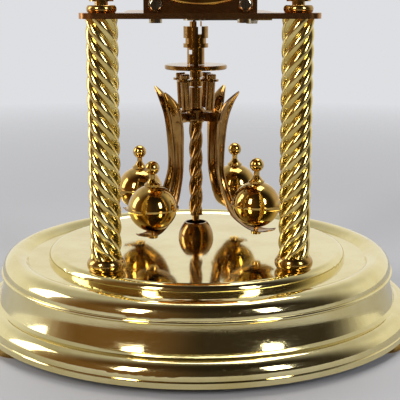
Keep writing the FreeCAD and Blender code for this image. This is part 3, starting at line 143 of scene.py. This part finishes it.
def makeWorld():
    world = bpy.data.worlds.new("softStudio")
    bpy.context.scene.world = world
    world.use_nodes = True
    tree = world.node_tree
    tree.nodes.clear()
    coords = addNode(tree, "ShaderNodeTexCoord")
    parts = addNode(tree, "ShaderNodeSeparateXYZ", {}, {0: coords.outputs["Generated"]})
    # behind the clock a pale wall, and a dim room on the other side
    side = addNode(tree, "ShaderNodeMapRange", {
        "From Min": studio["backFade"][0], "From Max": studio["backFade"][1],
        "interpolation_type": "SMOOTHSTEP",
    }, {"Value": parts.outputs["Y"]})
    backness = addNode(tree, "ShaderNodeMapRange", {
        "To Min": studio["dim"], "To Max": studio["bright"],
    }, {"Value": side.outputs["Result"]})
    leftness = addNode(tree, "ShaderNodeMapRange", {
        "From Min": studio["leftFade"][0], "From Max": studio["leftFade"][1],
        "interpolation_type": "SMOOTHSTEP",
    }, {"Value": parts.outputs["X"]})
    dimSide = addNode(tree, "ShaderNodeMix", {
        "data_type": "RGBA", 6: hexToLinear(studio["dimColour"]), 7: hexToLinear(studio["leftColour"]),
    }, {0: leftness.outputs["Result"]})
    roomColour = addNode(tree, "ShaderNodeMix", {
        "data_type": "RGBA", 7: hexToLinear(studio["brightColour"]),
    }, {0: side.outputs["Result"], 6: dimSide.outputs[2]})
    ceiling = addNode(tree, "ShaderNodeMapRange", {
        "From Min": studio["ceilingFade"][0], "From Max": studio["ceilingFade"][1],
        "To Min": 1.0, "To Max": studio["ceilingDim"],
        "interpolation_type": "SMOOTHSTEP",
    }, {"Value": parts.outputs["Z"]})
    level = addNode(tree, "ShaderNodeMath", {"operation": "MULTIPLY"}, {
        0: backness.outputs["Result"], 1: ceiling.outputs["Result"],
    })
    room = addNode(tree, "ShaderNodeBackground", {}, {
        "Color": roomColour.outputs[2], "Strength": level.outputs["Value"],
    })
    wall = addNode(tree, "ShaderNodeBackground", {
        "Color": hexToLinear(studio["wallColour"]), "Strength": studio["wallStrength"],
    })
    path = addNode(tree, "ShaderNodeLightPath")
    mix = addNode(tree, "ShaderNodeMixShader", {}, {
        0: path.outputs["Is Camera Ray"], 1: room.outputs[0], 2: wall.outputs[0],
    })
    addNode(tree, "ShaderNodeOutputWorld", {}, {"Surface": mix.outputs[0]})


makeWorld()

# place, width and height in metres, watts, colour
softboxes = {
    "leftWindow": ((-0.68, -0.93, 0.62), (0.22, 0.50), 7.0, "#fffaf2"),
    "rightWindow": ((0.72, -0.90, 0.58), (0.22, 0.50), 6.5, "#f8faff"),
    "topPanel": ((0.10, 0.25, 1.05), (0.70, 0.50), 6.0, "#ffffff"),
    "sidePanel": ((-1.05, 0.15, 0.45), (0.35, 0.70), 3.5, "#ffffff"),
}
for name, (spot, (width, height), power, tint) in softboxes.items():
    lamp = bpy.data.lights.new(name, "AREA")
    lamp.shape = "RECTANGLE"
    lamp.size = width
    lamp.size_y = height
    lamp.energy = power
    lamp.color = hexToLinear(tint)[:3]
    holder = bpy.data.objects.new(name, lamp)
    holder.location = spot
    holder.rotation_euler = (Vector(studio["aim"]) - Vector(spot)).to_track_quat("-Z", "Y").to_euler()
    bpy.context.scene.collection.objects.link(holder)
print("studio lit")


def turnedCoords(tree, place, pairOffset):
    # radius, angle and height about an upright axis; pairOffset folds a left and right pair together
    coords = addNode(tree, "ShaderNodeTexCoord")
    parts = addNode(tree, "ShaderNodeSeparateXYZ", {}, {0: coords.outputs["Object"]})
    across = parts.outputs["X"]
    if pairOffset:
        folded = addNode(tree, "ShaderNodeMath", {"operation": "ABSOLUTE"}, {0: across})
        across = folded.outputs["Value"]
        place = (pairOffset, place[1], place[2])
    fromX = addNode(tree, "ShaderNodeMath", {"operation": "SUBTRACT", 1: place[0]}, {0: across})
    fromY = addNode(tree, "ShaderNodeMath", {"operation": "SUBTRACT", 1: place[1]}, {0: parts.outputs["Y"]})
    flat = addNode(tree, "ShaderNodeCombineXYZ", {}, {
        "X": fromX.outputs["Value"], "Y": fromY.outputs["Value"],
    })
    radius = addNode(tree, "ShaderNodeVectorMath", {"operation": "LENGTH"}, {0: flat.outputs["Vector"]})
    angle = addNode(tree, "ShaderNodeMath", {"operation": "ARCTAN2"}, {
        0: fromY.outputs["Value"], 1: fromX.outputs["Value"],
    })
    return coords, radius.outputs["Value"], angle.outputs["Value"], parts.outputs["Z"]


metalPattern = {
    "ringDrift": 0.012,                   # metres of pattern per radian: small, so lines run as rings
    "brushStretch": 0.06,                 # share of the pattern's scale along the brushing
    "cloudSpread": (0.38, 0.68),
    "speckSpread": (0.60, 0.74),
    "patchSpread": (0.42, 0.6),
    "lineSpread": (0.3, 0.7),
    "coatRough": 0.06,
    "haze": 0.12,                         # extra roughness of a speck
    "bumpDepth": 0.12,                    # share of the grain
}


# what each look says: grain, cloud and speck are the real sizes of the patterns in millimetres
def makeMetal(name, look, place=(0, 0, 0), pairOffset=0.0):
    material = bpy.data.materials.new(name)
    material.use_nodes = True
    tree = material.node_tree
    tree.nodes.clear()
    grain = look["grain"]
    if look["work"] in ("turned", "spun"):
        coords, radius, angle, height = turnedCoords(tree, place, pairOffset)
        shortAngle = addNode(tree, "ShaderNodeMath", {
            "operation": "MULTIPLY", 1: metalPattern["ringDrift"],
        }, {0: angle})
        line = addNode(tree, "ShaderNodeCombineXYZ", {}, {
            "X": radius, "Y": shortAngle.outputs["Value"], "Z": height,
        })
        lineVector = line.outputs["Vector"]
    else:
        coords = addNode(tree, "ShaderNodeTexCoord")
        along = metalPattern["brushStretch"]
        stretch = {"brushedX": (along, 1, 1), "brushedZ": (1, 1, along)}
        mapping = addNode(tree, "ShaderNodeMapping", {
            "Scale": stretch.get(look["work"], (1, 1, 1)),
        }, {"Vector": coords.outputs["Object"]})
        lineVector = mapping.outputs["Vector"]
    where = coords.outputs["Object"]
    lines = addNode(tree, "ShaderNodeTexNoise", {
        "Scale": 1 / (grain * millimetre), "Detail": 3.0, "Roughness": 0.55,
    }, {"Vector": lineVector})
    cloud = addNode(tree, "ShaderNodeTexNoise", {
        "Scale": 1 / (look["cloud"] * millimetre), "Detail": 4.0, "Roughness": 0.6,
    }, {"Vector": where})
    speck = addNode(tree, "ShaderNodeTexNoise", {
        "Scale": 1 / (look["speck"] * millimetre), "Detail": 2.0, "Roughness": 0.7,
    }, {"Vector": where})
    cloudMask = addNode(tree, "ShaderNodeMapRange", {
        "From Min": metalPattern["cloudSpread"][0], "From Max": metalPattern["cloudSpread"][1],
    }, {
        "Value": cloud.outputs["Fac"],
    })
    speckMask = addNode(tree, "ShaderNodeMapRange", {
        "From Min": metalPattern["speckSpread"][0], "From Max": metalPattern["speckSpread"][1],
        "To Max": look["tarnish"],
    }, {"Value": speck.outputs["Fac"]})
    speckLevel = speckMask.outputs["Result"]
    if "worn" in look:    # handled walls wear, the deck on top stays a clean mirror
        low, high, onTop = look["worn"]
        parts = addNode(tree, "ShaderNodeSeparateXYZ", {}, {0: where})
        walls = addNode(tree, "ShaderNodeMapRange", {
            "From Min": low, "From Max": high, "To Min": 1.0, "To Max": onTop,
        }, {"Value": parts.outputs["Z"]})
        patches = addNode(tree, "ShaderNodeMapRange", {
            "From Min": metalPattern["patchSpread"][0], "From Max": metalPattern["patchSpread"][1],
        }, {
            "Value": cloud.outputs["Fac"],
        })
        patchy = addNode(tree, "ShaderNodeMath", {"operation": "MULTIPLY"}, {
            0: walls.outputs["Result"], 1: patches.outputs["Result"],
        })
        onWalls = addNode(tree, "ShaderNodeMath", {"operation": "MULTIPLY"}, {
            0: speckLevel, 1: patchy.outputs["Value"],
        })
        speckLevel = onWalls.outputs["Value"]
    tone = addNode(tree, "ShaderNodeMix", {
        "data_type": "RGBA", 6: hexToLinear(look["colour"]), 7: hexToLinear(look["shade"]),
    }, {0: cloudMask.outputs["Result"]})
    worn = addNode(tree, "ShaderNodeMix", {"data_type": "RGBA", 7: hexToLinear(look["stain"])}, {
        0: speckLevel, 6: tone.outputs[2],
    })
    lowRough, highRough = look["rough"]
    lineRough = addNode(tree, "ShaderNodeMapRange", {
        "From Min": metalPattern["lineSpread"][0], "From Max": metalPattern["lineSpread"][1],
        "To Min": lowRough, "To Max": highRough,
    }, {"Value": lines.outputs["Fac"]})
    dull = addNode(tree, "ShaderNodeMath", {
        "operation": "MULTIPLY_ADD", 1: look.get("haze", metalPattern["haze"]),
    }, {
        0: speckLevel, 2: lineRough.outputs["Result"],
    })
    bump = addNode(tree, "ShaderNodeBump", {
        "Strength": look["relief"], "Distance": grain * millimetre * metalPattern["bumpDepth"],
    }, {"Height": lines.outputs["Fac"]})
    shader = addNode(tree, "ShaderNodeBsdfPrincipled", {
        "Metallic": look.get("metallic", 1.0),
        "Coat Weight": look.get("lacquer", 0.0), "Coat Roughness": metalPattern["coatRough"],
    }, {
        "Base Color": worn.outputs[2], "Roughness": dull.outputs["Value"],
        "Normal": bump.outputs["Normal"],
    })
    addNode(tree, "ShaderNodeOutputMaterial", {}, {"Surface": shader.outputs[0]})
    return material


def boxMiddle(name):
    low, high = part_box(name)
    return tuple((low + high) / 2)


def dress(name, material):
    piece = nodes[name]
    piece.data.materials.clear()
    piece.data.materials.append(material)


# spun sheet brass, polished and lacquered: pale champagne gold, mirror-like, with fine rings
spunLacqueredBrass = {
    "work": "spun", "grain": 0.55, "cloud": 26.0, "speck": 1.1, "haze": 0.5,
    "colour": "#e9dca6", "shade": "#dccb8c", "stain": "#a88f4c",
    "rough": (0.04, 0.12), "relief": 0.07, "tarnish": 0.3, "worn": (0.030, 0.034, 0.0),
}
# turned solid brass, lacquered: browner gold with crisp lathe rings
turnedBrass = {
    "work": "turned", "grain": 0.35, "cloud": 6.0, "speck": 0.9,
    "colour": "#c3a05c", "shade": "#a07a3c", "stain": "#664722",
    "rough": (0.09, 0.2), "relief": 0.16, "tarnish": 0.5,
}
# twisted brass column, dip-lacquered: bright yellow gold, brown in the valleys
twistedColumnBrass = {
    "work": "turned", "grain": 0.5, "cloud": 9.0, "speck": 1.1,
    "colour": "#e3cf88", "shade": "#cfb362", "stain": "#8a6a35",
    "rough": (0.10, 0.19), "relief": 0.12, "tarnish": 0.45,
}
# rolled and stamped brass plate: brushed along its length, toned to copper by old lacquer
stampedPlateBrass = {
    "work": "brushedX", "grain": 0.12, "cloud": 16.0, "speck": 2.4,
    "colour": "#b58350", "shade": "#a07043", "stain": "#5c3c20",
    "rough": (0.15, 0.25), "relief": 0.04, "tarnish": 0.22,
}
# cast and pressed brass of the pendulum: deep copper gold under thick lacquer
pendulumBrass = {
    "work": "turned", "grain": 0.4, "cloud": 5.0, "speck": 0.9,
    "colour": "#a9824a", "shade": "#85602f", "stain": "#4b301a",
    "rough": (0.08, 0.18), "relief": 0.14, "tarnish": 0.5,
}
# buffed brass balls: clean mirror gold with very faint rings
buffedBallBrass = {
    "work": "turned", "grain": 0.45, "cloud": 7.0, "speck": 1.0,
    "colour": "#cdaa5e", "shade": "#ab8543", "stain": "#694a22",
    "rough": (0.045, 0.11), "relief": 0.08, "tarnish": 0.35,
}
# machined wheel brass: clean yellow, cut with fine straight grain
machinedWheelBrass = {
    "work": "brushedZ", "grain": 0.3, "cloud": 8.0, "speck": 1.2,
    "colour": "#d3b257", "shade": "#b98f3c", "stain": "#775722",
    "rough": (0.16, 0.28), "relief": 0.18, "tarnish": 0.4,
}
# pressed bezel brass: bright rim with copper toning
pressedBezelBrass = {
    "work": "plain", "grain": 0.4, "cloud": 9.0, "speck": 1.2,
    "colour": "#d5a24a", "shade": "#b06f33", "stain": "#6a3d18",
    "rough": (0.08, 0.18), "relief": 0.10, "tarnish": 0.35,
}
# nickel-plated steel screws: pale warm grey, bright and slightly worn
nickelPlatedSteel = {
    "work": "plain", "grain": 0.2, "cloud": 4.0, "speck": 1.2,
    "colour": "#b7ad98", "shade": "#938871", "stain": "#4f4636",
    "rough": (0.14, 0.22), "relief": 0.05, "tarnish": 0.4,
}
# hardened steel parts, oiled: dark grey with a straight grind
hardenedSteel = {
    "work": "brushedZ", "grain": 0.3, "cloud": 3.5, "speck": 0.8,
    "colour": "#6f6d6c", "shade": "#4a4746", "stain": "#2c2623",
    "rough": (0.2, 0.36), "relief": 0.2, "tarnish": 0.5,
}
# blued spring steel: thin oxide that gives a cold dark blue
bluedSpringSteel = {
    "work": "brushedZ", "grain": 0.3, "cloud": 4.0, "speck": 0.8,
    "colour": "#5b6a86", "shade": "#434d66", "stain": "#2a2c36",
    "rough": (0.18, 0.3), "relief": 0.14, "tarnish": 0.3,
}
# japanned sheet steel: black baked enamel with a soft sheen and rubbed dust
japannedSteel = {
    "work": "plain", "grain": 0.8, "cloud": 14.0, "speck": 1.6, "metallic": 0.0,
    "colour": "#171412", "shade": "#211d1a", "stain": "#3a342e",
    "rough": (0.38, 0.55), "relief": 0.2, "tarnish": 0.6,
}
# fired enamel dial: warm white glass over copper, glossy, with a faint orange-peel
firedEnamel = {
    "work": "plain", "grain": 1.1, "cloud": 16.0, "speck": 1.8, "metallic": 0.0,
    "colour": "#f3efe2", "shade": "#ece5d2", "stain": "#cfc3a4",
    "rough": (0.12, 0.2), "relief": 0.10, "tarnish": 0.25, "lacquer": 0.5,
}
# black-painted brass hands: satin paint with bare, rubbed grain
paintedHandBlack = {
    "work": "brushedZ", "grain": 0.3, "cloud": 3.0, "speck": 0.6, "metallic": 0.0,
    "colour": "#141313", "shade": "#1d1b1a", "stain": "#3b3226",
    "rough": (0.3, 0.45), "relief": 0.15, "tarnish": 0.3,
}

columnX = boxMiddle("column_right")[0]
pairMiddle = (0, boxMiddle("column_right")[1], 0)
pendulumAxis = boxMiddle("pendulum_head")

finishes = [
    ("spunLacqueredBrass", spunLacqueredBrass, (0, 0, 0), 0, ["base_shell"]),
    ("japannedSteel", japannedSteel, (0, 0, 0), 0, ["base_plate"]),
    ("turnedPairBrass", turnedBrass, pairMiddle, columnX, ["column_feet", "column_finials"]),
    ("nickelPairSteel", nickelPlatedSteel, pairMiddle, columnX, ["column_bolts"]),
    ("twistedColumnBrass", twistedColumnBrass, pairMiddle, columnX, ["column_left", "column_right"]),
    ("stampedPlateBrass", stampedPlateBrass, (0, 0, 0), 0, [
        "platform", "front_plate", "back_plate", "pillars", "guide_bush",
        "suspension_bracket", "top_block",
    ]),
    ("pendulumBrass", pendulumBrass, pendulumAxis, 0, [
        "pendulum_cup", "pendulum_head", "star_washer", "arm_links", "hub", "twisted_rod",
        "bottom_block", "fork", "regulating_disc", "arm_1", "arm_2", "arm_3", "arm_4",
    ]),
    ("machinedWheelBrass", machinedWheelBrass, (0, 0, 0), 0, [
        "barrel", "centre_wheel", "third_wheel", "escape_wheel", "intermediate_wheel",
        "cannon_pinion", "minute_wheel", "hour_wheel",
    ]),
    ("pressedBezelBrass", pressedBezelBrass, (0, 0, 0), 0, ["dial_bezel"]),
    ("nickelPlatedSteel", nickelPlatedSteel, (0, 0, 0), 0, [
        "platform_screws", "plate_screws", "locking_lever",
    ]),
    ("hardenedSteel", hardenedSteel, (0, 0, 0), 0, [
        "hinge_pins", "winding_arbor", "ratchet_wheel", "click", "anchor",
    ]),
    ("bluedSpringSteel", bluedSpringSteel, (0, 0, 0), 0, ["mainspring", "suspension_spring"]),
    ("firedEnamel", firedEnamel, (0, 0, 0), 0, ["dial"]),
    ("paintedHandBlack", paintedHandBlack, (0, 0, 0), 0, ["hour_hand", "minute_hand"]),
]
for name, look, place, pairOffset, wearers in finishes:
    material = makeMetal(name, look, place, pairOffset)
    for wearer in wearers:
        dress(wearer, material)
for name in nodes:
    if name.startswith(("ball_", "levelling_")):
        look = buffedBallBrass if name.startswith("ball_") else turnedBrass
        dress(name, makeMetal(f"{name}_brass", look, boxMiddle(name)))
print("finishes on")


# applied black bars on the dial: no numerals, name or text
dialMarks = {
    "hourBar": (28.5, 36.0, 0.9),         # from, to, half width, in millimetres
    "quarterBar": (27.0, 36.0, 1.3),
    "minuteBar": (37.2, 39.0, 0.22),
    "proud": 0.12,                        # thickness of the applied bars
    "bevel": 0.05,
    "bevelSteps": 2,
    "sunk": 0.02,                         # how far the bars reach into the dial
}


def addBar(build, angle, bar, face, centre, proud):
    start, end, half = bar
    corners = []
    for depth in (face + dialMarks["sunk"], face - proud):
        for along, across in ((start, -half), (end, -half), (end, half), (start, half)):
            x = along * math.sin(angle) + across * math.cos(angle)
            z = along * math.cos(angle) - across * math.sin(angle)
            corners.append(build.verts.new((
                x * millimetre + centre[0], depth * millimetre, z * millimetre + centre[2],
            )))
    near, far = corners[4:], corners[:4]
    build.faces.new(near[::-1])
    build.faces.new(far)
    for index in range(4):
        after = (index + 1) % 4
        build.faces.new((far[index], near[index], near[after], far[after]))


def makeDialMarks():
    build = bmesh.new()
    centre = boxMiddle("dial")
    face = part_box("dial")[0].y / millimetre
    for minute in range(60):
        angle = math.radians(6 * minute)
        bar = dialMarks["minuteBar"]
        if minute % 15 == 0:
            bar = dialMarks["quarterBar"]
        elif minute % 5 == 0:
            bar = dialMarks["hourBar"]
        addBar(build, angle, bar, face, centre, dialMarks["proud"])
    bmesh.ops.recalc_face_normals(build, faces=build.faces)
    mesh = bpy.data.meshes.new("dialMarks")
    build.to_mesh(mesh)
    build.free()
    piece = bpy.data.objects.new("dialMarks", mesh)
    bpy.context.scene.collection.objects.link(piece)
    mesh.materials.append(makeMetal("dialMarkBlack", paintedHandBlack))
    bevel = piece.modifiers.new("edges", "BEVEL")
    bevel.width = dialMarks["bevel"] * millimetre
    bevel.segments = dialMarks["bevelSteps"]
    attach(piece, "clock_frame")


makeDialMarks()
print("dial marked")
